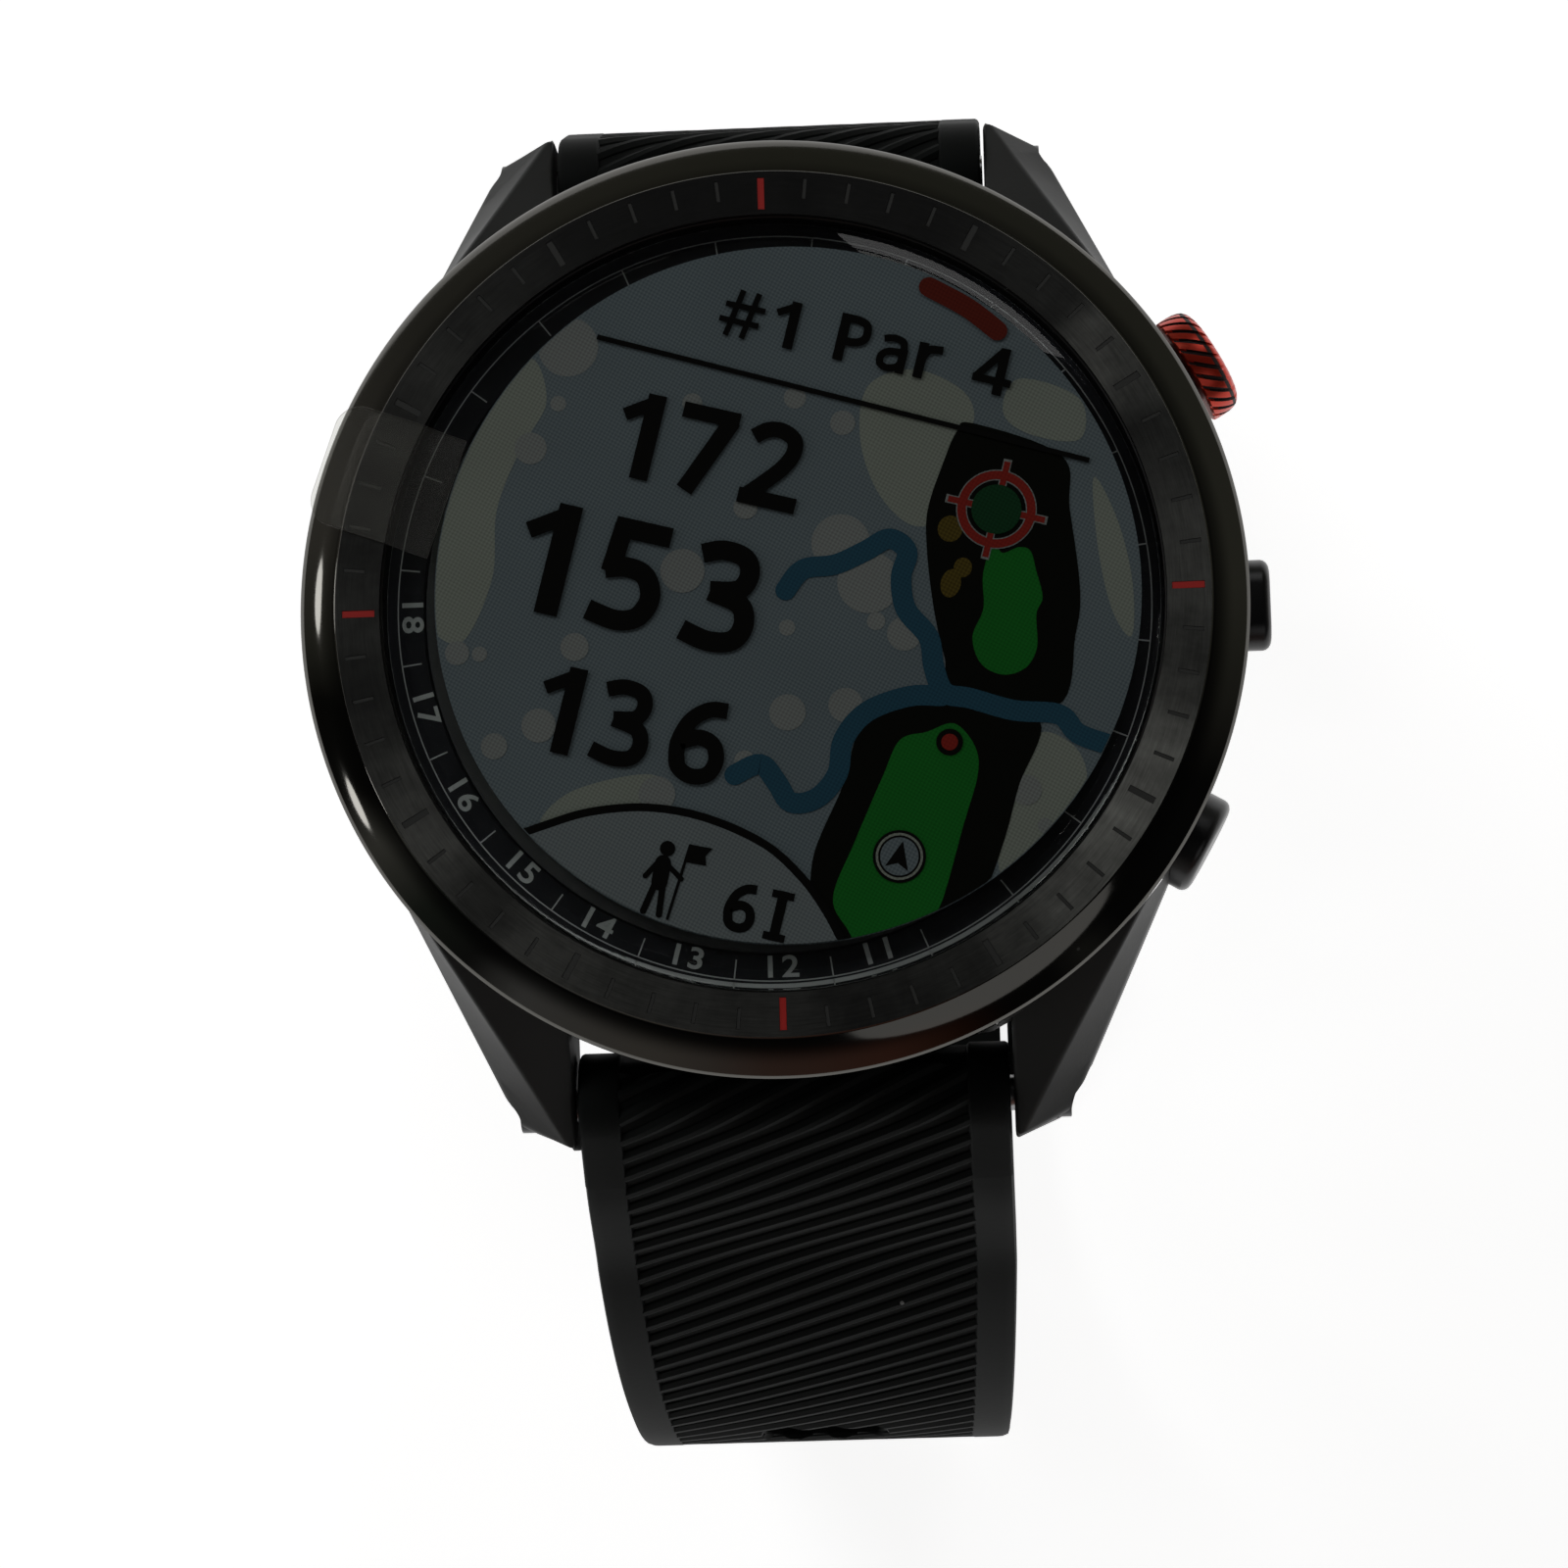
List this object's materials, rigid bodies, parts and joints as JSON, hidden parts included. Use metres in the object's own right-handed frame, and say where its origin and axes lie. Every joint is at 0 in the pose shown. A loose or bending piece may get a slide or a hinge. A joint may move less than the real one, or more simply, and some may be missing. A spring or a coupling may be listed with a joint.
{
  "type": "golf gps watch",
  "caption": "Round golf watch with bezel ring, screen, side buttons and sensor back on a buckled rubber strap that quick releases from the lugs.",
  "frame": {"origin": "middle of the flat under the fixed keeper, which the closed strap stands on", "axes": "+Z out of the dial, +Y to 12 o'clock, +X to 3 o'clock, where the buttons are"},
  "size_m": [0.0482, 0.0737, 0.0602],
  "materials": {
    "case_polymer": "fine moulded texture, dark grey",
    "bezel_metal": "dark ring, circular brushing with a polished bevel",
    "lens_glass": "clear, glossy",
    "film_plastic": "thin clear protective film",
    "seal_rubber": "soft black",
    "numeral_print": "black with white printing",
    "display_surface": "colour screen",
    "inner_plastic": "glass-filled nylon",
    "flex_film": "amber film",
    "antenna_metal": "plated",
    "board_green": "solder mask",
    "chip_black": "moulded packages",
    "inner_metal": "plain",
    "cover_plastic": "fine moulded texture, black",
    "screw_steel": "satin",
    "sensor_gloss": "tinted dome",
    "contact_gold": "gold plated",
    "button_red": "red anodised, knurled",
    "button_black": "black coated",
    "strap_rubber": "matt silicone",
    "end_metal": "dark coated, satin"
  },
  "bodies": {
    "strap": {"lower_strap": "strap_rubber", "lower_strap_end": "end_metal", "lower_latch_spring": "screw_steel", "upper_strap": "strap_rubber", "upper_strap_end": "end_metal", "upper_latch_spring": "screw_steel", "upper_lug_bar": "screw_steel", "fixed_keeper": "strap_rubber", "buckle_pin": "screw_steel"},
    "case": {"case_body": "case_polymer", "bezel_ring": "bezel_metal", "display_lens": "lens_glass", "screen_film": "film_plastic", "lens_gasket": "seal_rubber", "numeral_ring": "numeral_print", "display_panel": "display_surface", "display_frame": "inner_plastic", "display_flex": "flex_film", "antenna_ring": "antenna_metal", "main_board": "board_green", "board_chips": "chip_black", "button_switches": "inner_metal", "battery_cell": "inner_metal", "inner_chassis": "inner_plastic", "vibration_motor": "inner_metal", "rear_cover": "cover_plastic", "rear_cover_seal": "seal_rubber", "rear_cover_screws": "screw_steel", "sensor_board": "board_green", "sensor_window": "sensor_gloss", "charge_port": "cover_plastic", "charge_contacts": "contact_gold", "lower_lug_bar": "screw_steel", "lug_screws": "screw_steel", "upper_button_spring": "screw_steel", "middle_button_spring": "screw_steel", "lower_button_spring": "screw_steel"},
    "upper_button": {"upper_button_cap": "button_red", "upper_button_seal": "seal_rubber", "upper_button_clip": "screw_steel"},
    "middle_button": {"middle_button_cap": "button_black", "middle_button_seal": "seal_rubber", "middle_button_clip": "screw_steel"},
    "lower_button": {"lower_button_cap": "button_black", "lower_button_seal": "seal_rubber", "lower_button_clip": "screw_steel"},
    "lower_latch": {"lower_latch": "end_metal"},
    "upper_latch": {"upper_latch": "end_metal"},
    "free_keeper": {"free_keeper": "strap_rubber"},
    "buckle_frame": {"buckle_frame": "end_metal"},
    "buckle_tang": {"buckle_tang": "end_metal"}
  },
  "joints": [
    {"name": "case_swing", "type": "hinge", "parent": "strap", "child": "case", "pos_m": [0, -0.0238, 0.0492], "axis": [1, 0, 0], "range_deg": [0, 95]},
    {"name": "upper_button_press", "type": "slide", "parent": "case", "child": "upper_button", "axis": [-0.866, -0.5, 0], "range_m": [0, 0.0006], "stiffness_N_per_m": 1500, "springref_m": -0.0008, "deforming": ["upper_button_spring"]},
    {"name": "middle_button_press", "type": "slide", "parent": "case", "child": "middle_button", "axis": [-1, 0, 0], "range_m": [0, 0.0005], "stiffness_N_per_m": 1500, "springref_m": -0.0008, "deforming": ["middle_button_spring"]},
    {"name": "lower_button_press", "type": "slide", "parent": "case", "child": "lower_button", "axis": [-0.866, 0.5, 0], "range_m": [0, 0.0005], "stiffness_N_per_m": 1500, "springref_m": -0.0008, "deforming": ["lower_button_spring"]},
    {"name": "lower_latch_slide", "type": "slide", "parent": "strap", "child": "lower_latch", "axis": [0, -0.682, -0.7314], "range_m": [0, 0.0022], "stiffness_N_per_m": 400, "springref_m": -0.002, "deforming": ["lower_latch_spring"]},
    {"name": "upper_latch_slide", "type": "slide", "parent": "strap", "child": "upper_latch", "axis": [0, 0.309, -0.9511], "range_m": [0, 0.0022], "stiffness_N_per_m": 400, "springref_m": -0.002, "deforming": ["upper_latch_spring"]},
    {"name": "keeper_slide", "type": "slide", "parent": "strap", "child": "free_keeper", "axis": [0, 1, 0], "range_m": [-0.0023, 0.0024]},
    {"name": "frame_swing", "type": "hinge", "parent": "strap", "child": "buckle_frame", "pos_m": [0, -0.00932, 0.00535], "axis": [1, 0, 0], "range_deg": [0, 6]},
    {"name": "tang_swing", "type": "hinge", "parent": "buckle_frame", "child": "buckle_tang", "pos_m": [0, -0.00932, 0.00535], "axis": [1, 0, 0], "range_deg": [0, 5]}
  ]
}
